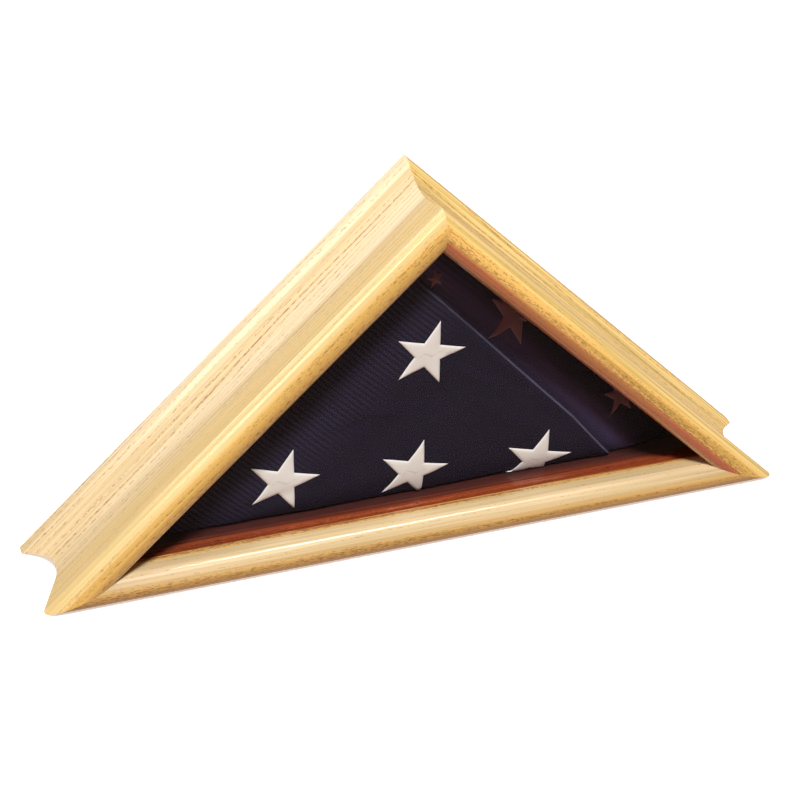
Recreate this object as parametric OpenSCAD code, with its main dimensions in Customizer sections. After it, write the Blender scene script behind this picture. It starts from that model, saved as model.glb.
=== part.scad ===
// Folded flag display case: three mitred oak mouldings round a right-angled triangle, glazed in
// front, closed behind by a hinged panel, with a triangular folded flag inside.
// X runs across the case, Y from front to back, Z up. The case stands on Z = 0 and is centred
// on X and Y. "Inset" is a distance inward from the outer plane of a moulding.

/* [Case] */
// Overall width across the base; the height is half of it
case_w = 660; // [560:5:800]
// Overall depth from the nose to the back face
case_d = 103.5; // [95:0.5:130]

/* [Moulding] */
// Radius of the half-round nose along the front
nose_r = 13.5; // [12.5:0.25:16]
// Deepest point of the cove below the outer plane
cove_sink = 8.8; // [4:0.2:9.4]
// Distance from the deepest line of the cove back to the flat band
cove_run = 33; // [26:0.5:36]
// Width of the flat band along the back edge
band_w = 11; // [8:0.5:14]
// Rounding of the outer back edge
back_round = 2; // [1:0.5:4]
// Thickness of the moulding behind its front lip
board_t = 22; // [20:0.5:24]
// Depth of the front lip, from the nose's centre line to where the glass bears
lip_d = 11.5; // [8:0.5:14]
// Depth of the rear rabbet that takes the back panel
rabbet_d = 12; // [11.5:0.5:15]
// Width of the ledge that the rear rabbet leaves
rabbet_w = 6; // [4:0.5:7]

/* [Splines] */
// Thickness of the hidden spline in each mitre
spline_t = 3; // [2:0.5:4]
// Width of a spline across its mitre
spline_w = 10; // [6:0.5:11]
// Length of a spline from front to back
spline_len = 40; // [24:1:44]

/* [Glazing] */
// Thickness of the glass
glass_t = 3; // [2:0.5:4]
// Gap between the glass and the rails beside it
glass_gap = 0.8; // [0.4:0.1:1.5]
// Length nipped off the sharp corners of the glass
glass_nip = 4; // [2:0.5:8]
// Depth of the stops behind the glass
stop_d = 5; // [4:0.5:8]
// Height of the stops above the inner wall
stop_h = 4.6; // [3:0.2:5]
// Rounding of the stops' free edge
stop_round = 2.4; // [1:0.2:2.8]
// Radius of a brad's shank
brad_r = 0.6; // [0.4:0.1:0.9]
// Depth that a brad goes into the rail
brad_bite = 7; // [4:0.5:9]

/* [Back door] */
// Thickness of the back panel
door_t = 6; // [5:0.5:6.5]
// Gap between the panel and the rabbet beside it
door_gap = 1; // [0.8:0.1:1.5]
// Gap between the panel and the ledge that it closes on
door_seat = 0.5; // [0.3:0.1:0.8]
// Angle of the bevel that lets the panel's sloping edges swing clear
door_bevel = 22; // [18:1:28]
// Radius of the knob
knob_r = 6.5; // [5:0.5:9]
// Height of the knob above the panel
knob_h = 4.8; // [4:0.1:5]
// Distance of the knob below the apex of the case
knob_drop = 84; // [76:1:110]

/* [Hinges] */
// Length of each hinge
hinge_len = 38; // [30:1:50]
// Distance of each hinge from the middle of the case
hinge_x = 150; // [80:5:170]
// Thickness of the leaves
leaf_t = 1.1; // [0.8:0.1:1.3]
// Width of the leaf on the rail, from the pin
rail_leaf_w = 8.4; // [7:0.2:8.6]
// Width of the leaf on the panel, from the pin
door_leaf_w = 12; // [10:0.5:16]
// Outer radius of the knuckles
knuckle_r = 2.4; // [2.1:0.1:2.5]
// Radius of the pin
pin_r = 1.2; // [1:0.1:1.3]
// Running clearance between the pin and the moving knuckle
pin_clear = 0.05; // [0.02:0.01:0.08]
// Radius of the screws' shanks
screw_r = 0.9; // [0.7:0.1:1.1]

/* [Catch] */
// Height of the corner block that holds the magnet
block_h = 26; // [24:1:30]
// Depth of the corner block
block_d = 11; // [9:0.5:14]
// Outer radius of the magnet's steel cup
cup_r = 6.5; // [5:0.5:7]
// Depth of the magnet's steel cup
cup_d = 6; // [4:0.5:8]
// Radius of the strike plate on the panel
strike_r = 8; // [6:0.5:9]
// Thickness of the strike plate
strike_t = 1.2; // [0.8:0.1:2]

/* [Flag] */
// Air space between the glass stops and the face of the flag
air_gap = 13; // [8:0.5:16]
// Gap between the flag and the side rails
flag_side_gap = 5.2; // [2:0.2:8]
// Gap between the flag and the closed panel
flag_back_gap = 1.8; // [1:0.1:4]
// How far the flag's front edges are rolled back
flag_roll = 10; // [6:0.5:14]
// Distance between neighbouring stars
star_pitch = 116; // [90:1:120]
// Radius of the circle through a star's points
star_r = 32.5; // [24:0.5:36]
// Height of the middle star of the lower row
star_z = 53; // [48:1:60]
// Slope of the rows of stars, falling to the right
row_tilt = 5; // [0:0.5:10]
// Turn of each star, clockwise from upright
star_turn = 16; // [0:1:36]
// Thickness of the embroidery
star_t = 0.6; // [0.4:0.1:1]

/* [Hidden] */
$fn = 96;

oak = [0.86, 0.66, 0.36];
oak_dark = [0.72, 0.5, 0.26];
brass = [0.8, 0.64, 0.3];
steel = [0.7, 0.71, 0.73];
navy = [0.1, 0.09, 0.28];

half = case_w / 2;
root2 = sqrt(2);
front = -case_d / 2;
back = case_d / 2;
touch = 0.1;
over = 1;
spare = 60;

// The mitre planes run from the corners to the centre of the inscribed circle
corner_l = [-half, 0];
corner_r = [half, 0];
apex = [0, half];
centre = [0, half * (root2 - 1)];

// Moulding: the line that is tangent to the nose and, but for a faint arris, to the cove
arris = 0.02;
cove_R = (cove_run * cove_run + cove_sink * cove_sink) / (2 * cove_sink);
nose_c = [nose_r, front + nose_r];
cove_c = [cove_sink - cove_R, back - band_w - cove_run];
centres = nose_c - cove_c;
face_a = atan2(centres[1], centres[0]) + acos((nose_r + cove_R) / norm(centres));
face_n = [cos(face_a), sin(face_a)];
ledge_t = board_t - rabbet_w;
lip_y = nose_c[1] + lip_d;
ledge_y = back - rabbet_d;

// Splines: in the middle of the wood that the cove leaves, and of the chamber's depth
spline_in = (cove_sink + board_t) / 2;
spline_y = (lip_y + ledge_y) / 2;

// Glazing
glass_y0 = lip_y + touch;
glass_y1 = glass_y0 + glass_t;
stop_y0 = glass_y1 + touch;
stop_y1 = stop_y0 + stop_d;
brad_head_r = 2 * brad_r;
brad_head_t = 0.6;

// Back panel and its swing
door_in = ledge_y + door_seat;
door_out = door_in + door_t;
knuckle_gap = 0.4;
axis_y = door_out + knuckle_gap + knuckle_r;
axis_z = ledge_t + knuckle_gap + knuckle_r;
door_z0 = ledge_t + leaf_t + door_seat;
swing_r = axis_y - door_in;
bevel_rise = root2 * (door_gap + door_t * tan(door_bevel));
tip_rise = (swing_r * swing_r + bevel_rise * bevel_rise) / (2 * bevel_rise);
door_tip = half - root2 * ledge_t - axis_z - tip_rise - over;
knob_z = half - knob_drop;
knob_neck_r = 3.4;
knob_rim = 1.1;
knob_foot = 1.4;
knob_foot_t = 0.8;
knob_screw_r = 1.25;
knob_screw_head = 2.6;

// Hinges: a knuckle of the panel's leaf between two of the rail's leaf
side_gap = 0.35;
mid_knuckle = hinge_len / 3 + side_gap;
screw_in = 6.5;
rail_screw_in = 3.2;
door_screw_in = 4.4;
screw_x = hinge_len / 2 - screw_in;
screw_head_r = 2 * screw_r;
rail_screw_y = axis_y - rail_leaf_w + rail_screw_in;
door_screw_z = axis_z + door_leaf_w - door_screw_in;
rail_screw_len = 9;
door_screw_len = 4.6;
pin_head_r = 1.7;
pin_head_t = 0.8;
slot_d = 0.35;

// Catch in the chamber's apex
chamber_top = half - root2 * board_t;
cup_margin = 2.6;
cup_z = chamber_top - block_h + cup_r + cup_margin;
cup_wall = 1;
strike_screw_len = 3.6;

// Flag
flag_y0 = stop_y1 + air_gap;
flag_y1 = door_in - flag_back_gap;
flag_base_gap = 0.4;
flag_floor = board_t + flag_base_gap;
flag_side = board_t + flag_side_gap;
flag_tuck = 7;
block_clear = 1.2;
row_dir = [cos(row_tilt), -sin(row_tilt)];
col_dir = [sin(row_tilt), cos(row_tilt)];
star_x = -2;
mid_star = [star_x, star_z];
star_spots = [
    mid_star, mid_star - star_pitch * row_dir, mid_star + star_pitch * row_dir,
    mid_star + star_pitch * col_dir
];

// Triangle in the XZ plane with its base and its two sides inset by their own amounts
function inset_tri(base_in, side_in) =
    let (top = half - root2 * side_in)
    [[base_in - top, base_in], [top - base_in, base_in], [0, top]];

// A corner pushed outward along its mitre, so that a cut there runs past the wood
function past(corner) = corner + 0.1 * (corner - centre);
function on_mitre(corner, inset) = corner + (centre - corner) * inset / centre[1];
function mitre_angle(corner) = atan2(centre[1] - corner[1], centre[0] - corner[0]);
function side_angle(side) = side == "base" ? 0 : side == "right" ? 225 : 135;
function side_mid(side) =
    side == "base" ? [0, 0, 0] : side == "right" ? [half / 2, 0, half / 2] : [-half / 2, 0, half / 2];
function side_ends(side) =
    side == "base" ? [corner_l, corner_r] : side == "right" ? [corner_r, apex] : [apex, corner_l];
function side_len(side) = side == "base" ? case_w : case_w / root2;
// Middle of a side's inner edge along the side, because its two mitres differ
function inner_mid(side, inset) =
    side == "base" ? 0 : (side == "right" ? 1 : -1) * inset / root2;

// Extrudes a shape drawn in the XZ plane from y0 to y1
module slab(y0, y1) {
    translate([0, y1, 0]) rotate([90, 0, 0]) linear_extrude(y1 - y0) children();
}

// Takes a piece drawn along X, with Z as its inset, to one side of the triangle
module on_side(side) {
    translate(side_mid(side)) rotate([0, side_angle(side), 0]) children();
}

// Extrudes a section, drawn as inset against Y, along one side, past both of its ends
module bar(side) {
    run = side_len(side) + spare;
    on_side(side) translate([run / 2, 0, 0]) rotate([0, -90, 0]) linear_extrude(run) children();
}

// Cuts both ends of whatever runs along one side on the mitre planes
module mitred(side) {
    ends = side_ends(side);
    intersection() {
        children();
        slab(front - over, back + over) polygon([past(ends[0]), past(ends[1]), centre]);
    }
}

module moulding(side) {
    nose_end = nose_c - nose_r * face_n;
    cove_end = cove_c + (cove_R - arris) * face_n;
    difference() {
        bar(side) translate(nose_c) circle(nose_r);
        bar(side) translate([0, lip_y]) square(2 * nose_r);
    }
    bar(side) translate([back_round, back - back_round]) circle(back_round);
    difference() {
        bar(side) polygon([
            [2 * nose_r, nose_c[1]], nose_end, cove_end, [0, cove_end[1]],
            [0, back - back_round], [back_round, back], [ledge_t, back],
            [ledge_t, ledge_y], [board_t, ledge_y], [board_t, lip_y], [2 * nose_r, lip_y]
        ]);
        bar(side) translate(cove_c) circle(cove_R, $fn = 360);
    }
}

module spline(corner) {
    slab(spline_y - spline_len / 2, spline_y + spline_len / 2)
        translate(on_mitre(corner, spline_in)) rotate(mitre_angle(corner))
            square([spline_t, spline_w], center = true);
}

// One stop's brads, driven outward from the stop into its rail
module brads(side) {
    inset = board_t + stop_h;
    reach = side_len(side) - 2 * inset * (1 + (side == "base" ? root2 : root2 / 2));
    for (step = [-1, 0, 1])
        on_side(side)
            translate([inner_mid(side, inset) + step * reach / 3, (stop_y0 + stop_y1) / 2, 0]) {
                translate([0, 0, board_t - brad_bite]) cylinder(r = brad_r, h = brad_bite + stop_h);
                translate([0, 0, inset - brad_head_t]) cylinder(r = brad_head_r, h = brad_head_t);
            }
}

// Countersunk screw that points along -Z with the top of its head at the origin
module screw(r, head_r, len) {
    translate([0, 0, -len]) cylinder(r = r, h = len);
    translate([0, 0, r - head_r]) cylinder(r1 = r, r2 = head_r, h = head_r - r);
}

module slotted_screw(r, head_r, len) {
    difference() {
        screw(r, head_r, len);
        translate([0, 0, -slot_d / 2])
            cube([2.2 * head_r, 0.3 * head_r, slot_d + touch], center = true);
    }
}

module at_rail_screws() {
    for (hinge = [-1, 1], end = [-1, 1])
        translate([hinge * hinge_x + end * screw_x, rail_screw_y, ledge_t + leaf_t]) children();
}

module at_door_screws() {
    for (hinge = [-1, 1], end = [-1, 1])
        translate([hinge * hinge_x + end * screw_x, door_out + leaf_t, door_screw_z])
            rotate([-90, 0, 0]) children();
}

// A round bar along X on the hinges' axis, centred on x
module axis_rod(x, len, r) {
    translate([x - len / 2, axis_y, axis_z]) rotate([0, 90, 0]) cylinder(r = r, h = len);
}

module rail(side) {
    color(oak) difference() {
        mitred(side) union() moulding(side);
        for (corner = [corner_l, corner_r, apex]) spline(corner);
        brads(side);
        if (side == "base") at_rail_screws() screw(screw_r, screw_head_r, rail_screw_len);
    }
}

module stop_section() {
    top = board_t + stop_h;
    rounding = min(stop_round, stop_h / 2 - touch);
    union() {
        translate([top - rounding, stop_y1 - rounding]) circle(rounding);
        polygon([
            [board_t, stop_y0], [top, stop_y0], [top, stop_y1 - rounding],
            [top - rounding, stop_y1], [board_t, stop_y1]
        ]);
    }
}

module stop(side) {
    color(oak) difference() {
        mitred(side) bar(side) stop_section();
        brads(side);
    }
}

module stop_brads() {
    color(steel) for (side = ["left", "right", "base"]) brads(side);
}

module glass_pane() {
    reach = half - (1 + root2) * (board_t + glass_gap) - glass_nip;
    color([0.8, 0.9, 0.9, 0.35]) slab(glass_y0, glass_y1) intersection() {
        polygon(inset_tri(board_t + touch, board_t + glass_gap));
        translate([-reach, 0]) square([2 * reach, half]);
    }
}

module rail_leaf(x) {
    color(brass) difference() {
        union() {
            translate([x - hinge_len / 2, axis_y - rail_leaf_w, ledge_t])
                cube([hinge_len, rail_leaf_w, leaf_t]);
            axis_rod(x, hinge_len, knuckle_r);
        }
        axis_rod(x, mid_knuckle + 2 * side_gap, knuckle_r + side_gap);
        axis_rod(x, hinge_len + over, pin_r);
        at_rail_screws() screw(screw_r, screw_head_r, rail_screw_len);
    }
}

module door_leaf(x) {
    color(brass) difference() {
        union() {
            translate([x - hinge_len / 2, door_out, axis_z]) cube([hinge_len, leaf_t, door_leaf_w]);
            axis_rod(x, mid_knuckle, knuckle_r);
        }
        for (end = [-1, 1])
            axis_rod(x + end * (mid_knuckle + hinge_len) / 2, hinge_len, knuckle_r + side_gap);
        axis_rod(x, hinge_len, pin_r + pin_clear);
        at_door_screws() screw(screw_r, screw_head_r, door_screw_len);
    }
}

module hinge_pin(x) {
    color(brass) {
        axis_rod(x, hinge_len, pin_r);
        for (end = [-1, 1])
            axis_rod(x + end * (hinge_len + pin_head_t) / 2, pin_head_t, pin_head_r);
    }
}

module rail_leaf_screws() {
    color(brass) at_rail_screws() slotted_screw(screw_r, screw_head_r, rail_screw_len);
}

module door_leaf_screws() {
    color(brass) at_door_screws() slotted_screw(screw_r, screw_head_r, door_screw_len);
}

module at_knob() {
    translate([0, door_in, knob_z]) rotate([90, 0, 0]) children();
}

module knob_screw_solid() {
    screw(knob_screw_r, knob_screw_head, door_t + knob_h / 2);
}

module at_strike() {
    translate([0, door_in, cup_z]) rotate([90, 0, 0]) children();
}

module strike_screw_solid() {
    screw(screw_r, screw_head_r, strike_screw_len);
}

module back_door() {
    color(oak_dark) difference() {
        slab(door_in, door_out) intersection() {
            polygon(inset_tri(door_z0, ledge_t + touch));
            translate([-door_tip, 0]) square([2 * door_tip, half]);
        }
        for (side = ["left", "right"]) bar(side) polygon([
            [0, door_in - over], [ledge_t + door_gap + (door_t + over) * tan(door_bevel), door_in - over],
            [ledge_t + door_gap - over * tan(door_bevel), door_out + over], [0, door_out + over]
        ]);
        at_door_screws() screw(screw_r, screw_head_r, door_screw_len);
        at_knob() knob_screw_solid();
        at_strike() translate([0, 0, -strike_t]) cylinder(r = strike_r, h = strike_t + over);
        at_strike() strike_screw_solid();
    }
}

module door_knob() {
    color(brass) difference() {
        translate([0, door_out, knob_z]) rotate([-90, 0, 0]) {
            cylinder(r = knob_neck_r, h = knob_h - touch);
            rotate_extrude() {
                translate([0, knob_h - 2 * knob_rim]) square([knob_r - knob_rim, 2 * knob_rim]);
                translate([knob_r - knob_rim, knob_h - knob_rim]) circle(knob_rim, $fn = 48);
                square([knob_neck_r + knob_foot, knob_foot_t]);
            }
        }
        at_knob() knob_screw_solid();
    }
}

module knob_screw() {
    color(steel) at_knob() slotted_screw(knob_screw_r, knob_screw_head, door_t + knob_h / 2);
}

module strike_plate() {
    color(steel) difference() {
        at_strike() translate([0, 0, -strike_t]) cylinder(r = strike_r, h = strike_t);
        at_strike() strike_screw_solid();
    }
}

module strike_screw() {
    color(steel) at_strike() slotted_screw(screw_r, screw_head_r, strike_screw_len);
}

module at_cup() {
    translate([0, ledge_y, cup_z]) rotate([90, 0, 0]) children();
}

module catch_block() {
    low = chamber_top - block_h;
    color(oak) difference() {
        slab(ledge_y - block_d, ledge_y) polygon([[-block_h, low], [block_h, low], [0, chamber_top]]);
        at_cup() cylinder(r = cup_r, h = cup_d);
    }
}

module magnet_cup() {
    color(steel) at_cup() difference() {
        cylinder(r = cup_r, h = cup_d);
        translate([0, 0, -over]) cylinder(r = cup_r - cup_wall, h = cup_d - cup_wall + over);
    }
}

module magnet() {
    color([0.2, 0.2, 0.2]) at_cup() cylinder(r = cup_r - cup_wall, h = cup_d - cup_wall);
}

// The folded bundle: full size through its middle, rolled in at the front and at the back
module flag_bundle() {
    difference() {
        hull() {
            slab(flag_y0, flag_y0 + touch)
                polygon(inset_tri(flag_floor + flag_roll, flag_side + flag_roll));
            slab(flag_y0 + flag_roll / 3, flag_y0 + flag_roll / 3 + touch)
                polygon(inset_tri(flag_floor + flag_roll / 3, flag_side + flag_roll / 3));
            slab(flag_y0 + flag_roll, flag_y1 - flag_tuck) polygon(inset_tri(flag_floor, flag_side));
            slab(flag_y1 - touch, flag_y1)
                polygon(inset_tri(flag_floor + flag_tuck, flag_side + flag_tuck));
        }
        slab(ledge_y - block_d - block_clear, back)
            translate([-half, chamber_top - block_h - block_clear]) square([case_w, half]);
    }
}

module folded_flag() {
    color(navy) flag_bundle();
}

module star_outline() {
    polygon([for (i = [0:9])
        let (r = i % 2 == 0 ? star_r : star_r * sin(18) / sin(54), a = 90 - star_turn + 36 * i)
        r * [cos(a), sin(a)]]);
}

// Embroidery that lies on the flag's face and follows it round the rolled edge
module flag_stars() {
    color("white") difference() {
        intersection() {
            translate([0, -star_t, 0]) flag_bundle();
            slab(front, flag_y0 + flag_roll)
                for (spot = star_spots) translate(spot) star_outline();
        }
        flag_bundle();
    }
}

rail("left");  // left_rail
rail("right");  // right_rail
rail("base");  // base_rail
color(oak_dark) spline(apex);  // apex_spline
color(oak_dark) spline(corner_l);  // left_spline
color(oak_dark) spline(corner_r);  // right_spline
glass_pane();
stop("left");  // left_stop
stop("right");  // right_stop
stop("base");  // base_stop
stop_brads();
rail_leaf(-hinge_x);  // left_rail_leaf
rail_leaf(hinge_x);  // right_rail_leaf
door_leaf(-hinge_x);  // left_door_leaf
door_leaf(hinge_x);  // right_door_leaf
hinge_pin(-hinge_x);  // left_hinge_pin
hinge_pin(hinge_x);  // right_hinge_pin
rail_leaf_screws();
door_leaf_screws();
back_door();
door_knob();
knob_screw();
strike_plate();
strike_screw();
catch_block();
magnet_cup();
magnet();
folded_flag();
flag_stars();
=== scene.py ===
"""Folded flag display case: the materials, the folded flag and a small studio, round the frame."""
from math import cos, exp, pi, radians, sin, sqrt

import bmesh
import bpy
from bpy.props import FloatProperty, FloatVectorProperty, PointerProperty
from bpy.types import Operator, Panel, PropertyGroup
from mathutils import Matrix, Vector, noise
from mathutils.bvhtree import BVHTree


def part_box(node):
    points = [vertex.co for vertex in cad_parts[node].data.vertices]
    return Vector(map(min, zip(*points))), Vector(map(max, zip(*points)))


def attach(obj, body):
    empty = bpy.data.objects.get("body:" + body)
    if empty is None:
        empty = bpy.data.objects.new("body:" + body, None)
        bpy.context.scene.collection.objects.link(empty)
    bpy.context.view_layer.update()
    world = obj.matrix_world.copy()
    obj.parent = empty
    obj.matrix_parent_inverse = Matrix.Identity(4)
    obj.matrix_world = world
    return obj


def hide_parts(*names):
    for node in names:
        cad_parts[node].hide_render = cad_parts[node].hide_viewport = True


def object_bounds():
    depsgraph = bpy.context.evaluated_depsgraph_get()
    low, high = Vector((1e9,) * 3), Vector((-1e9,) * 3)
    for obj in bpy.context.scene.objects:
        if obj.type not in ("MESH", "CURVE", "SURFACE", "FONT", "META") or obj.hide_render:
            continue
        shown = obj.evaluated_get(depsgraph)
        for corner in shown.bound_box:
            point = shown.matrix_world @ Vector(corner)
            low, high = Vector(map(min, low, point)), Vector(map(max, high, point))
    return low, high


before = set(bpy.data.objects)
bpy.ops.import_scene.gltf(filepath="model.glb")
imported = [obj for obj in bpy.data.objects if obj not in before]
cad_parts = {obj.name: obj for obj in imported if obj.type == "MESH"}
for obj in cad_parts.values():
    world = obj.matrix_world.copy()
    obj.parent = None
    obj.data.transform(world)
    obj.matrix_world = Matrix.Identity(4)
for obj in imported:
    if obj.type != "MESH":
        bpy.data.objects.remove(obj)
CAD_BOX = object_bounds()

bl_info = {
    "name": "Folded Flag Display Case",
    "version": (1, 0, 0),
    "blender": (4, 5, 0),
    "location": "3D View > Sidebar > Flag Case",
    "description": "Oak, glass and brass finishes, the folded flag and a studio for the display case",
    "category": "Object",
}

ROOT2 = sqrt(2)
CASE_W = CAD_BOX[1][0] - CAD_BOX[0][0]
HALF = CASE_W / 2
FRONT = CAD_BOX[0][1]
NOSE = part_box("base_rail")[1][2]
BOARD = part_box("base_stop")[0][2]
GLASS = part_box("glass_pane")[0][1]
FLAG_LOW, FLAG_HIGH = (Vector(corner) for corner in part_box("folded_flag"))
DOOR_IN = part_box("back_door")[0][1]
STOP_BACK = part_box("base_stop")[1][1]
BLOCK_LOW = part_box("catch_block")[0]
FLAG_BODY = "case"

# Where the zones of a rail's section fade in: Y from front to back, then insets from its outer edge
COVE_BACK = (FRONT + 0.032, FRONT + 0.056)
NOSE_MIDDLE = (FRONT + 0.008, FRONT + 0.018)
# Painted half-shade: a golden band before the glass, where the painted shade begins
BESIDE_GLASS = (GLASS - 0.0083, GLASS - 0.0033)
# Painted shade behind the glass: where it starts, and where it is deepest
PAINTED_SHADE_START = (GLASS - 0.0023, GLASS + 0.0032)
PAINTED_SHADE_DEEP = (GLASS + 0.0067, GLASS + 0.0252)
# The right rail's lip, painted red as a painted shade
NOSE_LIP = (NOSE - 0.0145, NOSE - 0.0095)
LEDGE = (NOSE - 0.005, NOSE - 0.001)
# The inner faces, where the painted shade lies
INNER_FACES = (BOARD - 0.0055, BOARD - 0.004)

# Each lamp: the way to it from the case, its distance and size in metres, and its tint
LAMPS = {
    "key": ((-0.12, -0.51, 0.85), 6, 0.9, (1.0, 0.985, 0.97)),
    "fill": ((-0.45, -0.85, 0.28), 4, 2.0, (1.0, 0.94, 0.90)),
    "rim": ((-0.50, 0.70, 0.50), 4, 3.0, (1.0, 1.0, 1.0)),
    "top": ((0.24, -0.02, 0.97), 3, 0.9, (1.0, 0.98, 0.95)),
    "left": ((-0.82, -0.05, 0.54), 3, 0.8, (1.0, 0.98, 0.95)),
}
LAMP_AIM = Vector((0, 0, 0.12))


def colour(name, text, default):
    """A colour property with its description."""
    return FloatVectorProperty(
        name=name, description=text, subtype="COLOR", size=3, min=0, max=1, default=default)


def length(name, text, default, least=0.0):
    """A length property in metres."""
    return FloatProperty(
        name=name, description=text, default=default, min=least, unit="LENGTH", precision=4)


def angle(name, text, degrees):
    """An angle property with its default in degrees."""
    return FloatProperty(name=name, description=text, default=radians(degrees), unit="ROTATION")


def share(name, text, default):
    """A plain number property from 0 to 1."""
    return FloatProperty(
        name=name, description=text, default=default, min=0, max=1, subtype="FACTOR")


def strength(name, text, default, least=0.0):
    """A plain number property with no upper end."""
    return FloatProperty(name=name, description=text, default=default, min=least)


class OakSettings(PropertyGroup):
    """The look of the lacquered oak."""
    light: colour("Late wood", "Smooth wood between the rings", (0.68, 0.52, 0.30))
    honey: colour(
        "Golden late wood", "Smooth wood of the right rail and the left rail's cove", (0.78, 0.55, 0.20))
    mid: colour("Early wood", "Open-pored wood of each ring", (0.71, 0.41, 0.090))
    pore: colour("Pores", "The dark dashes of the open pores", (0.31, 0.13, 0.038))
    # Painted shade: this red on the right rail's lip stands in for the shade that falls there
    painted_lip_shade: colour("Lip_shade", "Red lip of the right rail", (0.50, 0.085, 0.045))
    # Painted shade: a dark red brown behind the glass, deepest far back, for the shade there
    painted_shade: colour("Inside stain", "Stain of the faces behind the glass", (0.44, 0.080, 0.022))
    deep: colour("Deep stain", "The same stain far behind the glass", (0.062, 0.016, 0.016))
    ring: length("Ring width", "Average width of a growth ring", 0.0046, 0.001)
    gloss: share("Lacquer roughness", "Roughness of the lacquer coat", 0.14)


class FlagSettings(PropertyGroup):
    """The folded flag and its stars."""
    navy: colour("Navy", "Colour of the flag's cotton", (0.010, 0.0085, 0.019))
    sheen: colour("Sheen", "Tint of the cotton's sheen", (0.34, 0.24, 0.75))
    # Painted sheen: a brighter band beside the last fold, for the light it catches
    nap: colour("Sheen_band", "Brighter nap beside the last fold", (0.060, 0.042, 0.110))
    # Painted highlight: a lighter line along the edge of the last fold
    edge: colour("Fold edge", "Highlighted edge of the last fold", (0.22, 0.19, 0.30))
    thread: colour("Thread", "Colour of the stars' embroidery", (0.90, 0.86, 0.85))
    # Painted shade: a darker thread for the three half-hidden stars, for the shade on them
    shaded_thread: colour("Dusky thread", "Colour of the half-hidden stars' embroidery", (0.16, 0.045, 0.070))
    roll: length("Rolled edge", "How far the flag's front edges roll back", 0.005)
    star: length("Star radius", "Radius of the circle through a star's points", 0.0328)
    pitch: length("Star spacing", "Distance between neighbouring stars", 0.1168)
    fold_step: length("Fold step", "Height of the last fold's edge above the layer under it", 0.0035)
    row_tilt: angle("Row tilt", "Fall of the rows of stars to the right", 6.6)
    star_turn: angle("Star turn", "Clockwise turn of each star", 16)


class StudioSettings(PropertyGroup):
    """The camera and the lights."""
    azimuth: angle("Azimuth", "Camera's turn round the case", -21.59)
    elevation: angle("Elevation", "Camera's height as an angle", 35.50)
    roll: angle("Roll", "Camera's roll", 2.99)
    distance: length("Distance", "From the camera to its aim", 2.17)
    aim: FloatVectorProperty(
        name="Aim", description="Point at the middle of the view", subtype="XYZ", size=3, unit="LENGTH",
        default=(-0.016, -0.0091, 0.1299))
    lens: strength("Lens", "Focal length in millimetres", 117.34, 10)
    key: strength("Key light", "Power of the key light in watts", 410)
    fill: strength("Fill light", "Power of the fill light in watts", 4)
    rim: strength("Back light", "Power of the back light in watts", 38)
    top: strength("Top light", "Power of the overhead light in watts", 55)
    left: strength("Left light", "Power of the light on the left in watts", 10)
    world: strength("Air", "Strength of the light all round", 0.05)
    glow: strength("Glow", "Strength of the warm light from below", 0.6)


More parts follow.
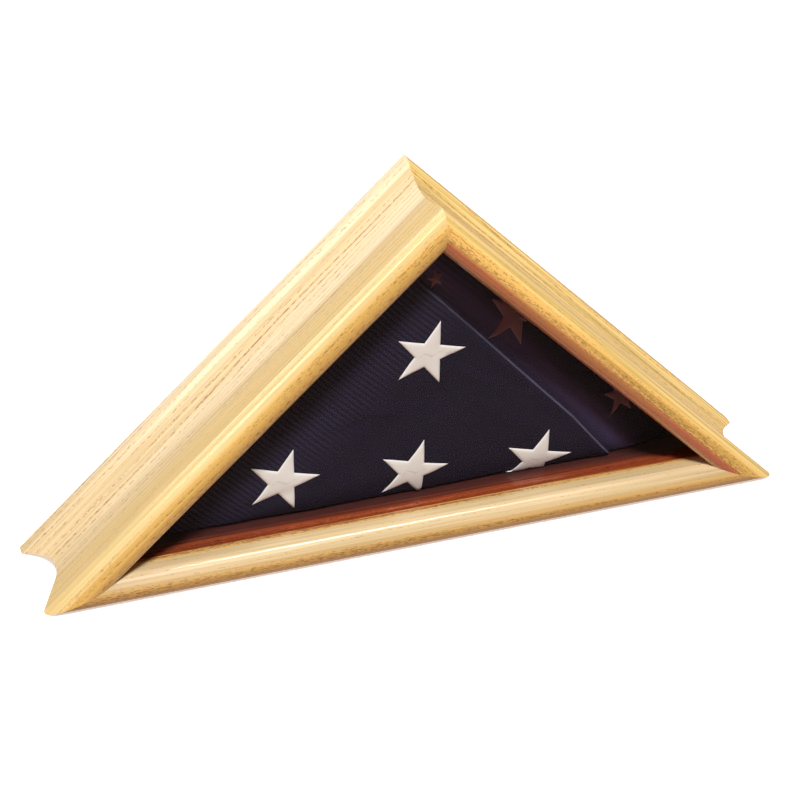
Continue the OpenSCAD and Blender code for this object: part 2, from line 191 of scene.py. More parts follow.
class Shader:
    """Builds one node material from short calls."""

    def __init__(self, name):
        self.material = bpy.data.materials.new(name)
        self.material.use_nodes = True
        self.tree = self.material.node_tree
        self.tree.nodes.clear()
        self.out = self.tree.nodes.new("ShaderNodeOutputMaterial")

    def node(self, kind, inputs=None, **settings):
        """Adds a node with its settings and what its sockets hold."""
        made = self.tree.nodes.new("ShaderNode" + kind)
        for key, value in settings.items():
            setattr(made, key, value)
        for key, value in (inputs or {}).items():
            self.set(made.inputs[key], value)
        return made

    def set(self, socket, value):
        """Links another node's output to a socket, or sets the socket's own number or colour."""
        if isinstance(value, bpy.types.NodeSocket):
            self.tree.links.new(value, socket)
        elif value is not None:
            socket.default_value = (*value, 1) if socket.type == "RGBA" and len(value) == 3 else value

    def math(self, operation, a, b=None):
        """One operation on one or two values."""
        made = self.node("Math", operation=operation)
        self.set(made.inputs[0], a)
        self.set(made.inputs[1], b)
        return made.outputs[0]

    def times(self, first, *others):
        """The product of all its values."""
        for other in others:
            first = self.math("MULTIPLY", first, other)
        return first

    def plus(self, first, *others):
        """The sum of all its values."""
        for other in others:
            first = self.math("ADD", first, other)
        return first

    def mix(self, amount, a, b, blend="MIX"):
        """Colour a turned into colour b by an amount."""
        made = self.node("Mix", data_type="RGBA", blend_type=blend, clamp_factor=True)
        self.set(made.inputs[0], amount)
        self.set(made.inputs[6], a)
        self.set(made.inputs[7], b)
        return made.outputs[2]

    def place(self, vector, scale=(1, 1, 1), turn=(0, 0, 0), shift=(0, 0, 0)):
        """Coordinates scaled, turned and shifted."""
        return self.node("Mapping", {
            "Vector": vector, "Scale": scale, "Rotation": turn, "Location": shift}).outputs[0]

    def noise(self, vector, scale, detail=2.0, rough=0.5):
        """Soft clouds from 0 to 1."""
        return self.node("TexNoise", {
            "Vector": vector, "Scale": scale, "Detail": detail, "Roughness": rough}).outputs["Fac"]

    def bands(self, vector, scale, warp, way, detail=1.0, finer=1.0):
        """Parallel waves across one direction."""
        return self.node("TexWave", {
            "Vector": vector, "Scale": scale, "Distortion": warp, "Detail": detail,
            "Detail Scale": finer}, wave_type="BANDS", bands_direction=way).outputs["Fac"]

    def step(self, value, low, high, invert=False):
        """A smooth 0 to 1 as value goes from low to high."""
        made = self.node("MapRange", interpolation_type="SMOOTHSTEP", clamp=True)
        ends = (1, 0) if invert else (0, 1)
        for socket, number in zip(made.inputs, (value, low, high, *ends)):
            self.set(socket, number)
        return made.outputs[0]

    def bump(self, height, amount, distance):
        """Fine relief for the light to catch, a distance in metres high."""
        return self.node("Bump", {
            "Height": height, "Strength": amount, "Distance": distance}).outputs[0]

    def finish(self, **inputs):
        """Ends the material in one principled surface."""
        sockets = {key.replace("_", " "): value for key, value in inputs.items()}
        surface = self.node("BsdfPrincipled", sockets)
        self.tree.links.new(surface.outputs[0], self.out.inputs[0])
        return self.material


def wear(node, material):
    """Gives a CAD node's object one material."""
    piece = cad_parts[node]
    piece.data.materials.clear()
    piece.data.materials.append(material)


class Oak(Shader):
    """Lacquered oak whose grain runs along a rail.

    turn is the rail's angle about Y and middle the place of its middle in XZ, so that local X runs
    along it, Y from front to back and Z inward. shift picks another part of the log.
    """

    def __init__(self, name, look, turn=0.0, middle=(0, 0), shift=0.0):
        super().__init__(name)
        self.look = look
        along = self.node("TexCoord").outputs["Object"]
        offset = Matrix.Rotation(-turn, 3, "Y") @ Vector((-middle[0], 0, -middle[1]))
        rail = self.place(along, turn=(0, -turn, 0), shift=offset)
        self.depth, self.inset = self.node("SeparateXYZ", {"Vector": rail}).outputs[1:]
        self.local = self.place(rail, shift=(shift, 0.21 * shift, 0))
        self.back = self.step(self.depth, *COVE_BACK)
        self.streak = self.step(self.grain(4, 420), 0.38, 0.62)

    def grain(self, along, across, detail=2.0):
        """Noise with so many cells to the metre along the rail and across it."""
        return self.noise(self.place(self.local, scale=(along, across, across)), 1.0, detail)

    def rings(self, lean, drift):
        """The early wood of growth rings that cross the board at a slant and vary in width."""
        x, y, z = self.node("SeparateXYZ", {"Vector": self.local}).outputs
        wander = self.times(self.grain(1.3, 14), 0.034)
        ripple = self.times(self.grain(7, 60), 0.004)
        across = self.plus(y, self.times(z, lean), self.times(x, drift), wander, ripple)
        count = self.math("DIVIDE", across, self.look.ring)
        ring = self.math("FRACT", count)
        number = self.node(
            "TexWhiteNoise", {"W": self.math("FLOOR", count)}, noise_dimensions="1D").outputs["Value"]
        early = self.times(self.step(ring, 0.02, 0.10), self.step(ring, 0.16, 0.62, invert=True))
        early = self.times(early, self.plus(0.5, self.times(number, 0.6)))
        return self.times(early, self.plus(0.5, self.times(self.back, 0.5)))

    def nose(self, gold):
        """The nose's golden part between two insets; the pale rest is partly a painted highlight."""
        middle = self.step(self.depth, *NOSE_MIDDLE, invert=True)
        return self.times(middle, self.step(self.inset, min(gold), max(gold), invert=gold[0] > gold[1]))

    def pores(self, early):
        """Short dashes in rows along the grain, crowded into the early wood."""
        rows = self.times(early, self.step(self.grain(2, 420, 1.0), 0.32, 0.50))

        def dashes(long, wide, density):
            spots = self.node("TexVoronoi", {
                "Vector": self.place(self.local, scale=(1 / long, 1 / wide, 1 / wide)), "Scale": 1.0,
                "Randomness": 0.75}, feature="F1").outputs["Distance"]
            limit = self.plus(0.02, self.times(rows, density))
            return self.step(self.math("SUBTRACT", spots, limit), -0.06, 0.05, invert=True)

        return self.math("MAXIMUM", dashes(0.010, 0.0009, 0.43), dashes(0.0044, 0.0008, 0.44))

    def painted_shade_behind_glass(self, pores):
        """Painted shade, a deep red brown, on the faces behind the glass, and where it lies."""
        look = self.look
        uneven = self.plus(self.depth, self.times(self.streak, 0.004))
        inside = self.times(self.step(uneven, *PAINTED_SHADE_START), self.step(self.inset, *INNER_FACES))
        fiery = self.mix(self.streak, [c * 1.1 for c in look.painted_shade], [c * 0.6 for c in look.painted_shade])
        dark = self.mix(self.step(uneven, *PAINTED_SHADE_DEEP), fiery, look.deep)
        return inside, self.mix(self.times(pores, 0.6), dark, [c * 0.2 for c in look.painted_shade])


def oak(name, look, lean=0.35, drift=0.012, tone=1.0, painted_shade=1.0, late=None, cove=0.0, ringing=0.6,
        gold=(0.010, 0.016), painted_lip_shade=0.0, streaks=0.16, glow=0.0, **place):
    """The oak of one rail or panel, with place as the Oak class takes it.

    lean and drift slant the rings across and along the board, and tone darkens it. stain sets how
    far the faces behind the glass get the painted shade, a dark red brown for the shade there. late
    is the colour between the rings, cove sets how golden it turns towards the nose, and ringing sets
    how strongly the rings show. The nose turns gold between the two insets of gold, and its pale rest
    is partly a painted highlight. heart sets how red the lip is painted, a painted shade, streaks how
    much the fibres differ, and glow how golden the wood is next to the glass, a painted half-shade
    where the painted shade begins.
    differ, and glow how golden the wood is next to the glass.
    """
    make = Oak(name, look, **place)
    rings = make.rings(lean, drift)
    nose = make.nose(gold)
    crowd = make.times(nose, make.plus(0.46, make.times(make.grain(9, 90), 0.45)))
    # A golden band with pores before the glass: a painted half-shade where the painted shade begins
    beside = make.times(make.step(make.depth, *BESIDE_GLASS), make.step(make.inset, *LEDGE), glow)
    early = make.math("MAXIMUM", make.math("MAXIMUM", rings, crowd), beside)
    pores = make.pores(early)

    # The colour of the wood, from its ground to its pores
    golden = make.math("MAXIMUM", make.times(rings, ringing), make.math("MAXIMUM", nose, beside))
    honeyed = make.times(make.math("SUBTRACT", 1, make.back), cove)
    ground = make.mix(honeyed, late or look.light, look.honey)
    wood = make.mix(make.times(golden, 0.85), ground, look.mid)
    # Painted shade: the right rail's lip turns red for the shade on it
    lip = make.times(make.step(make.inset, *NOSE_LIP), painted_lip_shade)
    wood = make.mix(make.times(lip, make.plus(0.55, make.times(make.streak, 0.45))), wood, look.painted_lip_shade)
    wood = make.mix(make.times(pores, 0.85), wood, look.pore)

    # Light and dark along the fibres, with a little less blue in the dark
    fibre = make.grain(18, 1300)
    shade = make.plus(make.times(fibre, 0.14), make.times(make.grain(3, 26, 3.0), 0.20))
    shade = make.plus(shade, make.times(make.math("SUBTRACT", make.streak, 0.5), streaks))
    shade = make.times(make.plus(0.83, shade), tone)
    grey = make.node("CombineColor", {
        "Red": shade, "Green": shade, "Blue": make.math("POWER", shade, 1.5)}).outputs[0]
    # Painted shade on the faces behind the glass
    inside, dark = make.painted_shade_behind_glass(pores)
    wood = make.mix(make.times(inside, painted_shade), make.mix(1.0, wood, grey, "MULTIPLY"), dark)

    height = make.math("SUBTRACT", make.times(fibre, 0.12), make.times(pores, 0.6))
    return make.finish(
        Base_Color=wood, Roughness=make.plus(0.34, make.times(pores, 0.3)),
        Normal=make.bump(height, 0.35, 0.0004), Coat_Weight=0.9, Coat_Roughness=look.gloss, IOR=1.5)


def brushed(name, tint, rough):
    """Metal with fine brushing and a little variation in its polish."""
    make = Shader(name)
    place = make.node("TexCoord").outputs["Object"]
    lines = make.noise(make.place(place, scale=(400, 400, 60)), 8.0, 3.0)
    cloud = make.noise(place, 90.0, 3.0)
    tone = make.mix(cloud, [c * 0.86 for c in tint], tint)
    gloss = make.plus(rough, make.times(make.plus(lines, cloud), 0.04))
    return make.finish(
        Base_Color=tone, Metallic=1.0, Roughness=gloss, Normal=make.bump(lines, 0.12, 0.0001))


def glass(name):
    """Thin clear glass: it lets the light straight through and mirrors a very little."""
    make = Shader(name)
    clear = make.node("BsdfTransparent", {"Color": (0.99, 0.995, 0.99)})
    mirror = make.node("BsdfPrincipled", {"Base Color": (1, 1, 1), "Metallic": 1.0, "Roughness": 0.02})
    blend = make.node("MixShader", {0: 0.004})
    make.tree.links.new(clear.outputs[0], blend.inputs[1])
    make.tree.links.new(mirror.outputs[0], blend.inputs[2])
    make.tree.links.new(blend.outputs[0], make.out.inputs[0])
    return make.material


def cotton(name, look):
    """Tightly woven navy cotton with a faint rib and a purple sheen."""
    make = Shader(name)
    place = make.node("TexCoord").outputs["Object"]
    turned = make.place(place, turn=(0, radians(45), 0))
    weave = make.math("MAXIMUM", *(make.bands(turned, 640.0, 1.2, way) for way in "XZ"))
    ribs = make.bands(turned, 70.0, 1.6, "X", finer=0.25)

    # The rib shows on the left of the face alone
    left = make.step(make.node("SeparateXYZ", {"Vector": turned}).outputs[2], 0.095, 0.150)
    rib = make.times(ribs, left, make.plus(0.35, make.noise(place, 11.0, 1.0)))
    cloud = make.noise(place, 24.0, 4.0, 0.6)
    tone = make.plus(make.times(cloud, 0.4), make.times(rib, 1.3), make.times(weave, 0.08))
    # A painted highlight along the last fold's edge, and a painted sheen in a band beside it
    edge = make.node("Attribute", attribute_name="fold_edge").outputs["Fac"]
    nap = make.node("Attribute", attribute_name="nap").outputs["Fac"]
    base = make.mix(tone, look.navy, [c * 2.4 for c in look.navy])
    base = make.mix(nap, base, look.nap)
    base = make.mix(make.times(edge, 0.7), base, look.edge)
    height = make.times(rib, 0.9)
    return make.finish(
        Base_Color=base, Roughness=make.plus(0.62, make.times(cloud, 0.2)), Sheen_Weight=0.05,
        Sheen_Roughness=0.35, Sheen_Tint=(*look.sheen, 1), Specular_IOR_Level=0.1,
        Normal=make.bump(height, 0.6, 0.0005))


def embroidery(name, tint):
    """Satin stitching with the lines of its threads."""
    make = Shader(name)
    place = make.node("TexCoord").outputs["Object"]
    stitch = make.bands(make.place(place, turn=(0, radians(28), 0)), 420.0, 2.0, "X", 2.0, 3.0)
    cloud = make.noise(place, 60.0, 3.0, 0.6)
    seam = make.node("Attribute", attribute_name="seam").outputs["Fac"]
    tone = make.mix(make.times(cloud, 0.35), tint, [c * 0.84 for c in tint])
    tone = make.mix(make.times(seam, 0.45), tone, [c * 0.55 for c in tint])
    height = make.plus(stitch, make.times(cloud, 0.6))
    return make.finish(
        Base_Color=tone, Roughness=0.55, Sheen_Weight=0.3, Sheen_Roughness=0.4,
        Normal=make.bump(height, 0.35, 0.0003))


def matt(name, tint, rough, grain_scale, depth):
    """A plain matt stuff with a fine grain."""
    make = Shader(name)
    place = make.node("TexCoord").outputs["Object"]
    grain = make.noise(place, grain_scale, 4.0, 0.6)
    return make.finish(
        Base_Color=make.mix(grain, [c * 0.8 for c in tint], tint),
        Roughness=make.plus(rough, make.times(grain, 0.1)),
        Normal=make.bump(grain, 0.3, depth))


def paper(name):
    """Plain pale backdrop paper."""
    make = Shader(name)
    return make.finish(
        Base_Color=(0.94, 0.94, 0.94), Roughness=0.9, Emission_Color=(1, 1, 1, 1), Emission_Strength=0.45)


class CASE_OT_stage(Operator):
    """Set up the camera, the lights, the surroundings and the pale floor"""
    bl_idname = "flag_case.stage"
    bl_label = "Camera, lights and floor"

    def execute(self, context):
        look = context.scene.case_studio
        a, e, r = look.azimuth, look.elevation, look.roll
        away = Vector((sin(a) * cos(e), -cos(a) * cos(e), sin(e)))
        right = (-away).cross(Vector((0, 0, 1))).normalized()
        up = right.cross(-away)
        right, up = cos(r) * right + sin(r) * up, cos(r) * up - sin(r) * right
        camera = bpy.data.objects.new("camera", bpy.data.cameras.new("camera"))
        camera.data.lens = look.lens
        camera.matrix_world = Matrix.Translation(Vector(look.aim) + look.distance * away) @ Matrix(
            (right, up, away)).transposed().to_4x4()
        context.collection.objects.link(camera)
        context.scene.camera = camera

        for name in LAMPS:
            self.lamp(context, name, getattr(look, name))
        context.scene.world = self.surroundings(look)
        context.scene.view_settings.view_transform = "Standard"

        bm = bmesh.new()
        bmesh.ops.create_grid(bm, x_segments=2, y_segments=2, size=6)
        floor = new_piece("floor", bm)
        floor.data.materials.append(paper("floor_paper"))
        floor.visible_diffuse = floor.visible_glossy = False
        return {"FINISHED"}

    def surroundings(self, look):
        """Dim air above and a warm glow from below, as a table would throw back."""
        world = bpy.data.worlds.new("surroundings")
        world.use_nodes = True
        nodes, links = world.node_tree.nodes, world.node_tree.links
        height = nodes.new("ShaderNodeSeparateXYZ")
        ramp = nodes.new("ShaderNodeMapRange")
        ramp.inputs["From Min"].default_value = -0.25
        ramp.inputs["From Max"].default_value = 0.05
        blend = nodes.new("ShaderNodeMix")
        blend.data_type = "RGBA"
        blend.inputs[6].default_value = (*(c * look.glow for c in (1.0, 0.68, 0.48)), 1)
        blend.inputs[7].default_value = (*(c * look.world for c in (1.0, 0.98, 1.0)), 1)
        links.new(nodes.new("ShaderNodeTexCoord").outputs["Generated"], height.inputs[0])
        links.new(height.outputs[2], ramp.inputs["Value"])
        links.new(ramp.outputs[0], blend.inputs[0])
        links.new(blend.outputs[2], nodes["Background"].inputs["Color"])
        return world

    def lamp(self, context, name, power):
        """A round area lamp that faces the case."""
        towards, distance, size, tint = LAMPS[name]
        data = bpy.data.lights.new(name, "AREA")
        data.shape = "DISK"
        data.size = size
        data.energy = power
        data.color = tint
        lamp = bpy.data.objects.new(name, data)
        direction = Vector(towards).normalized()
        lamp.location = LAMP_AIM + distance * direction
        lamp.rotation_euler = direction.to_track_quat("Z", "Y").to_euler()
        context.collection.objects.link(lamp)


class CASE_OT_timber(Operator):
    """Finish the rails, the stops, the corner block and the back panel in oak, and the splines in plywood
    """
    bl_idname = "flag_case.timber"
    bl_label = "Oak rails and panel"

    def execute(self, context):
        look = context.scene.case_oak
        middle = HALF / 2
        left = oak("oak_left", look, turn=radians(135), middle=(-middle, middle), shift=0.31,
                   drift=0.016, cove=0.6, ringing=0.45, gold=(0.003, 0.008))
        # The right rail gets the painted shade on its lip
        right = oak("oak_right", look, turn=radians(225), middle=(middle, middle), shift=1.73,
                    lean=0.7, drift=-0.009, late=look.honey, gold=(0.002, 0.008), painted_lip_shade=0.95,
                    streaks=0.34)
        # On the base, glow paints the golden half-shade before the glass
        base = oak("oak_base", look, shift=2.9, lean=0.9, drift=0.004, gold=(0.023, 0.014), glow=0.9)
        # The panel gets no painted shade
        panel = oak("oak_veneer", look, turn=radians(90), shift=4.4, lean=0, drift=0.01,
                    tone=0.85, painted_shade=0)
        for side, material in (("left", left), ("right", right), ("base", base)):
            wear(side + "_rail", material)
            wear(side + "_stop", material)
        wear("catch_block", base)
        wear("back_door", panel)
        plywood = matt("spline_ply", (0.62, 0.42, 0.22), 0.7, 700.0, 0.0002)
        for corner in ("apex", "left", "right"):
            wear(corner + "_spline", plywood)
        return {"FINISHED"}


class CASE_OT_glazing(Operator):
    """Finish the glass pane"""
    bl_idname = "flag_case.glazing"
    bl_label = "Glass pane"

    def execute(self, context):
        wear("glass_pane", glass("clear_glass"))
        return {"FINISHED"}


class CASE_OT_hardware(Operator):
    """Finish the hinges, the knob, the catch and their fastenings"""
    bl_idname = "flag_case.hardware"
    bl_label = "Hinges, knob and catch"

    def execute(self, context):
        brass = brushed("brass", (0.83, 0.60, 0.25), 0.22)
        steel = brushed("zinc_steel", (0.60, 0.61, 0.63), 0.3)
        for side in ("left", "right"):
            for part in ("_rail_leaf", "_door_leaf", "_hinge_pin"):
                wear(side + part, brass)
        for node in ("rail_leaf_screws", "door_leaf_screws", "door_knob"):
            wear(node, brass)
        wear("stop_brads", brushed("bronze", (0.30, 0.12, 0.05), 0.5))
        for node in ("knob_screw", "strike_plate", "strike_screw", "magnet_cup"):
            wear(node, steel)
        wear("magnet", matt("ferrite", (0.03, 0.03, 0.033), 0.6, 900.0, 0.0001))
        return {"FINISHED"}


def new_piece(name, bm):
    """An object at the origin that holds the bmesh."""
    mesh = bpy.data.meshes.new(name)
    bm.to_mesh(mesh)
    bm.free()
    piece = bpy.data.objects.new(name, mesh)
    bpy.context.collection.objects.link(piece)
    return piece


def bake_modifiers(piece):
    """Applies every modifier of a piece to its mesh."""
    graph = bpy.context.evaluated_depsgraph_get()
    mesh = bpy.data.meshes.new_from_object(piece.evaluated_get(graph), depsgraph=graph)
    old = piece.data
    piece.modifiers.clear()
    piece.data = mesh
    bpy.data.meshes.remove(old)


def smooth(piece):
    """Shades every face of a piece smooth."""
    for face in piece.data.polygons:
        face.use_smooth = True


# Each wrinkle: place in XZ, direction, half-length, half-width and depth; minus lifts a ridge
WRINKLES = (
    (0.045, 0.150, radians(-38), 0.030, 0.005, 0.0014),
    (0.052, 0.142, radians(-40), 0.034, 0.006, -0.0012),
    (0.020, 0.128, radians(-60), 0.016, 0.005, 0.0012),
    (-0.060, 0.105, radians(20), 0.018, 0.006, 0.0009),
    (-0.030, 0.118, radians(-15), 0.016, 0.005, -0.0009),
    (0.060, 0.175, radians(-48), 0.040, 0.004, 0.0009),
    (0.075, 0.150, radians(-48), 0.036, 0.005, -0.0009),
    (-0.150, 0.045, radians(14), 0.050, 0.006, 0.0010),
    (0.090, 0.085, radians(-42), 0.030, 0.006, -0.0008),
    (-0.095, 0.120, radians(45), 0.040, 0.006, 0.0008),
)


class CASE_OT_flag(Operator):
    """Fold the flag: a stuffed triangular bundle with the edge of its last fold"""
    bl_idname = "flag_case.flag"
    bl_label = "Folded flag"

    # Lengths in metres: how much smaller than its space the bundle starts, how finely it is
    # remeshed, how far it may swell, and how far its underside sags over how tall a strip
    shrink = 0.0030
    voxel = 0.0055
    swell = 0.0045
    sag, sag_reach = 0.008, 0.055

    # The cloth: its last frame, and the pressure in it
    frames = 20
    pressure = 4

    # The last fold: its ends in XZ, the cuts that crease it, the ramp, the width of the painted
    # highlight along its edge, the low ridge before it, and the band of painted sheen behind it
    fold_top = (0.025, 0.211)
    fold_low = (0.193, 0.026)
    creases = (-0.0009, -0.0003, 0.0003, 0.0009, 0.0028)
    ramp_start, ramp, edge_width = -0.0003, 0.0012, 0.0004
    ridge, ridge_place, ridge_width = 0.0010, -0.004, 0.005
    nap_place, nap_width = 0.014, 0.009

    # The face: how deep it reaches, how it falls back at the rails, its uneven swell, and how
    # strongly the wrinkles are pressed
    face_depth = 0.018
    fall, fall_reach = 0.009, 0.030
    broad, soft = 0.0020, 0.0007
    wrinkling = 1.8

    # Clearances to the rails, the stops, the panel and the corner block
    rail_gap, stop_gap, panel_gap, block_gap = 0.0006, 0.004, 0.0012, 0.001
    rail_inset = 0.0022

    def execute(self, context):
        look = context.scene.case_flag
        flag = new_piece("folded_flag_cloth", self.bundle(look))
        rest = self.remeshed(flag)
        self.inflate(context, flag, rest)
        self.detail(flag, look)
        smooth(flag)
        flag.data.materials.append(cotton("navy_cotton", look))
        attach(flag, FLAG_BODY)
        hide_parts("folded_flag")
        return {"FINISHED"}

    def bundle(self, look):
        """A triangular prism with rolled edges, a little inside the space it fills."""
        low, high = FLAG_LOW, FLAG_HIGH
        gap = self.shrink
        y0, y1 = low.y + gap, high.y - gap
        wide, tall = high.x - gap * (1 + ROOT2), high.z - gap * ROOT2
        bm = bmesh.new()
        corners = [bm.verts.new(p) for p in (
            (-wide, y0, low.z + gap), (wide, y0, low.z + gap), (0, y0, tall))]
        face = bm.faces.new(corners)
        block = bmesh.ops.extrude_face_region(bm, geom=[face])
        bmesh.ops.translate(bm, vec=(0, y1 - y0, 0), verts=[
            v for v in block["geom"] if isinstance(v, bmesh.types.BMVert)])
        bmesh.ops.recalc_face_normals(bm, faces=bm.faces)
        bmesh.ops.bevel(bm, geom=list(bm.edges), offset=look.roll, offset_type="OFFSET", segments=4,
                        profile=0.5, affect="EDGES", material=-1, clamp_overlap=True)
        return bm

    def remeshed(self, flag):
        """Rebuilds the bundle in small even faces and gives the places of its points."""
        remesh = flag.modifiers.new("remesh", "REMESH")
        remesh.mode = "VOXEL"
        remesh.voxel_size = self.voxel
        bake_modifiers(flag)
        return [v.co.copy() for v in flag.data.vertices]

    def inflate(self, context, flag, rest):
        """Blows the bundle up as cloth, with a limit on how far each point may go."""
        cloth = flag.modifiers.new("cloth", "CLOTH")
        cloth.settings.use_pressure = True
        cloth.settings.uniform_pressure_force = self.pressure
        cloth.settings.effector_weights.gravity = 0
        cloth.settings.quality = 6
        cloth.settings.bending_stiffness = 0.6
        scene = context.scene
        for number in range(1, self.frames + 1):
            scene.frame_set(number)
        bake_modifiers(flag)
        scene.frame_set(1)
        for vertex, start in zip(flag.data.vertices, rest):
            move = vertex.co - start
            if move.length > self.swell:
                vertex.co = start + move * (self.swell / move.length)

    def detail(self, flag, look):
        """Refines the bundle, creases it along the last fold and adds the soft wrinkles."""
        bm = bmesh.new()
        bm.from_mesh(flag.data)
        for _ in range(2):
            bmesh.ops.smooth_vert(
                bm, verts=bm.verts, factor=0.5, use_axis_x=True, use_axis_y=True, use_axis_z=True)
        bmesh.ops.subdivide_edges(bm, edges=list(bm.edges), cuts=1, use_grid_fill=True, smooth=0.3)
        top, low = Vector(self.fold_top), Vector(self.fold_low)
        run = (low - top).normalized()
        across = Vector((-run.y, run.x)) * (1 if run.x > 0 else -1)
        for offset in self.creases:
            place = top + across * offset
            bmesh.ops.bisect_plane(
                bm, geom=list(bm.verts) + list(bm.edges) + list(bm.faces), dist=1e-6,
                plane_co=(place.x, 0, place.y), plane_no=(across.x, 0, across.y))
        fold_highlight_layer = bm.verts.layers.float.new("fold_edge")
        painted_sheen_layer = bm.verts.layers.float.new("nap")
        for vertex in bm.verts:
            x, y, z = vertex.co
            vertex.co.z -= self.sag * max(0.0, 1 - max(0.0, z - FLAG_LOW.z) / self.sag_reach)
            facing = max(0.0, 1 - max(0.0, y - FLAG_LOW.y) / self.face_depth)
            if facing > 0:
                side = (Vector((x, z)) - top).dot(across)
                vertex.co.y += facing * self.relief(x, z, side, look.fold_step)
                # A painted highlight along the fold's edge
                vertex[fold_highlight_layer] = facing * hump(side, self.edge_width)
                # A band of painted sheen behind the fold
                if side > 0:
                    vertex[painted_sheen_layer] = facing * hump(side - self.nap_place, self.nap_width)
            self.keep_inside(vertex)
        bm.to_mesh(flag.data)
        bm.free()

    def relief(self, x, z, side, step):
        """How far back the face lies at a point, in metres: the fold's step and the wrinkles."""
        depth = step * min(1.0, max(0.0, (side - self.ramp_start) / self.ramp))
        if side < 0:
            depth -= self.ridge * hump(side - self.ridge_place, self.ridge_width)
        edge = (FLAG_HIGH.z - abs(x) - z) / ROOT2
        depth += self.fall * hump(max(0.0, edge), self.fall_reach)
        depth += self.broad * noise.noise(Vector((x * 13, z * 13, 1.7)))
        depth += self.soft * noise.noise(Vector((x * 42 + z * 18, z * 42, 5.1)))
        for cx, cz, slant, reach, width, deep in WRINKLES:
            along = (x - cx) * cos(slant) + (z - cz) * sin(slant)
            over = (z - cz) * cos(slant) - (x - cx) * sin(slant)
            depth += self.wrinkling * deep * hump(along, reach) * hump(over, width)
        return depth

    def keep_inside(self, vertex):
        """Holds a point of the flag inside the space between the rails, the stops and the panel."""
        co = vertex.co
        co.z = max(co.z, FLAG_LOW.z + self.rail_gap / 2)
        co.y = min(max(co.y, STOP_BACK + self.stop_gap), DOOR_IN - self.panel_gap)
        reach = HALF - ROOT2 * (FLAG_LOW.z + self.rail_inset) - self.rail_gap
        over = abs(co.x) + co.z - reach
        if over > 0:
            co.x -= over / 2 * (1 if co.x > 0 else -1)
            co.z -= over / 2
        under_block = BLOCK_LOW[2] - self.block_gap
        if co.y > BLOCK_LOW[1] - self.block_gap and co.z > under_block:
            co.z = under_block


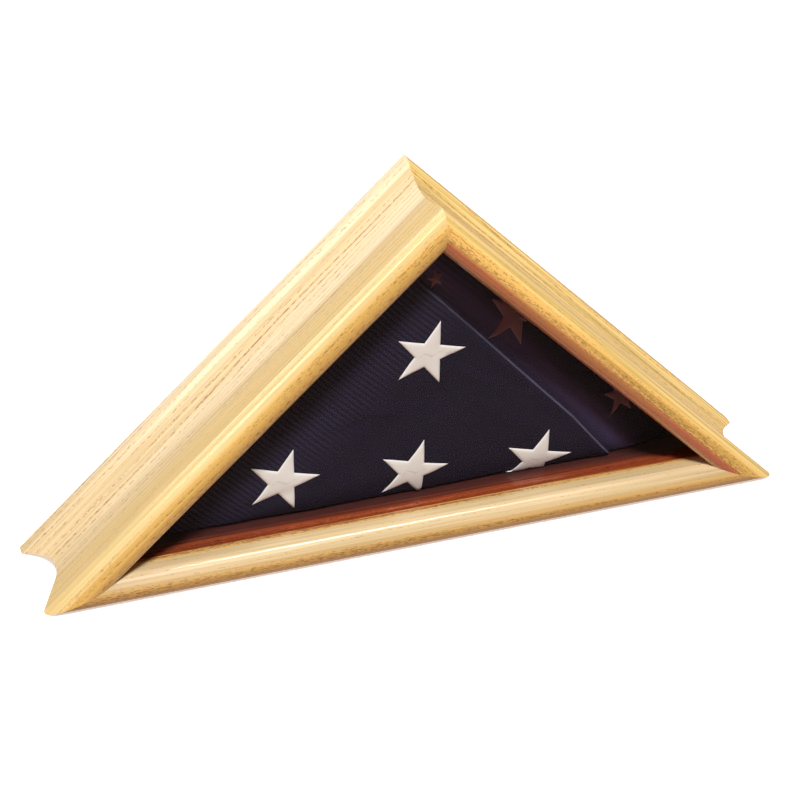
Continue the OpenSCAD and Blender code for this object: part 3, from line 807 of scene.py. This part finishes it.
class CASE_OT_stars(Operator):
    """Embroider the stars onto the face of the flag"""
    bl_idname = "flag_case.stars"
    bl_label = "Embroidered stars"

    # Places in XZ: the middle star of the lower row, the upper star from it, and the three on the
    # layer under the fold with their turns in degrees and the share of their size that shows
    middle_star = (-0.0007, 0.051)
    upper_star = (0.0088, 0.1189)
    shaded = ((0.013, 0.2395, 20, 0.27), (0.089, 0.186, -8, 0.9), (0.197, 0.081, 14, 0.6))

    # The stars on the face, which stand for the CAD stars, and the points of each star
    bright = 4
    points = 5

    # Lengths in metres: how high the thread stands, how narrow its slope is, how far it clears the
    # cotton and how deep it goes in, then the seam's wave and width and the margin that it keeps
    puff, slope, clear, sunk = 0.0009, 0.0012, 0.00025, 0.0012
    seam_wave, seam_width, seam_margin = 0.0015, 0.0005, 0.002

    def execute(self, context):
        look = context.scene.case_flag
        flag = bpy.data.objects["folded_flag_cloth"]
        surface = BVHTree.FromObject(flag, context.evaluated_depsgraph_get())
        thread = embroidery("white_thread", look.thread)
        # A darker copy of the thread, a painted shade, for the three half-hidden stars
        shaded_stars_thread = embroidery("dusky_thread", look.shaded_thread)
        row = Vector((cos(look.row_tilt), -sin(look.row_tilt))) * look.pitch
        middle = Vector(self.middle_star)
        spots = [(spot, 0, 1) for spot in (
            middle, middle - row, middle + row, middle + Vector(self.upper_star))]
        spots += [(Vector((x, z)), radians(turn), part) for x, z, turn, part in self.shaded]
        for number, (spot, turn, part) in enumerate(spots, 1):
            shape = self.star(surface, spot, look.star * part, turn - look.star_turn)
            star = new_piece(f"star_{number}", shape)
            smooth(star)
            # The half-hidden stars wear the painted shade
            star.data.materials.append(thread if number <= self.bright else shaded_stars_thread)
            star.parent = flag
            if number <= self.bright:
                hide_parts("flag_stars")
        return {"FINISHED"}

    def star(self, surface, spot, radius, turn):
        """A puffed five-pointed star that lies on the surface under it."""
        waist = radius * sin(radians(18)) / sin(radians(54))
        corners = 2 * self.points
        outline = []
        for index in range(corners):
            reach = (radius, waist)[index % 2]
            bearing = pi / 2 + turn + index * pi / self.points
            outline.append(Vector((reach * cos(bearing), reach * sin(bearing))))
        bm = bmesh.new()
        bmesh.ops.create_circle(bm, cap_ends=True, cap_tris=True, segments=corners, radius=radius)
        rim = [v for v in bm.verts if v.co.length > radius / 2]
        rim.sort(key=lambda v: v.co.to_2d().angle_signed((0, 1)))
        for vertex, corner in zip(rim, outline):
            vertex.co = corner.to_3d()
        bmesh.ops.subdivide_edges(bm, edges=list(bm.edges), cuts=11, use_grid_fill=True)
        seam = bm.verts.layers.float.new("seam")
        for vertex in bm.verts:
            flat = vertex.co.to_2d()
            inside = min(edge_distance(flat, outline[i], outline[i - 1]) for i in range(corners))
            wave = flat.y + self.seam_wave * sin(flat.x * 500)
            vertex[seam] = hump(wave, self.seam_width) * min(1, inside / self.seam_margin)
            place = spot + flat
            hit, normal, _, _ = surface.ray_cast(Vector((place.x, FRONT, place.y)), Vector((0, 1, 0)))
            if hit is None:
                hit, normal, _, _ = surface.find_nearest(Vector((place.x, FLAG_LOW.y, place.y)))
            rise = self.puff * (1 - exp(-inside / self.slope)) + self.clear
            vertex.co = hit + (normal if normal.y < 0 else -normal) * rise
        base = bmesh.ops.extrude_face_region(bm, geom=list(bm.faces))
        for vertex in base["geom"]:
            if isinstance(vertex, bmesh.types.BMVert):
                vertex.co.y += self.sunk
        bmesh.ops.recalc_face_normals(bm, faces=bm.faces)
        return bm


def hump(distance, width):
    """A smooth hump, 1 at no distance, that fades over its width."""
    return exp(-(distance / width) ** 2)


def edge_distance(point, a, b):
    """Distance in the plane from a point to the stretch from a to b."""
    run = b - a
    t = min(1, max(0, (point - a).dot(run) / run.length_squared))
    return (point - a - t * run).length


class CASE_PT_panel(Panel):
    """Lists the steps that finish the case"""
    bl_label = "Flag case"
    bl_idname = "CASE_PT_panel"
    bl_space_type = "VIEW_3D"
    bl_region_type = "UI"
    bl_category = "Flag Case"

    def draw(self, context):
        for step in STEPS:
            self.layout.operator(step.bl_idname)
        for group in ("case_oak", "case_flag", "case_studio"):
            settings = getattr(context.scene, group)
            box = self.layout.box()
            for name in settings.__annotations__:
                box.prop(settings, name)


GROUPS = {"case_oak": OakSettings, "case_flag": FlagSettings, "case_studio": StudioSettings}
STEPS = (CASE_OT_stage, CASE_OT_timber, CASE_OT_glazing, CASE_OT_hardware, CASE_OT_flag, CASE_OT_stars)


def register():
    for kind in (*GROUPS.values(), *STEPS, CASE_PT_panel):
        bpy.utils.register_class(kind)
    for name, kind in GROUPS.items():
        setattr(bpy.types.Scene, name, PointerProperty(type=kind))


def unregister():
    for name in GROUPS:
        delattr(bpy.types.Scene, name)
    for kind in reversed((*GROUPS.values(), *STEPS, CASE_PT_panel)):
        bpy.utils.unregister_class(kind)


def main():
    """Registers the add-on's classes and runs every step."""
    register()
    for step in STEPS:
        group, name = step.bl_idname.split(".")
        getattr(getattr(bpy.ops, group), name)()


if __name__ == "__main__":
    main()
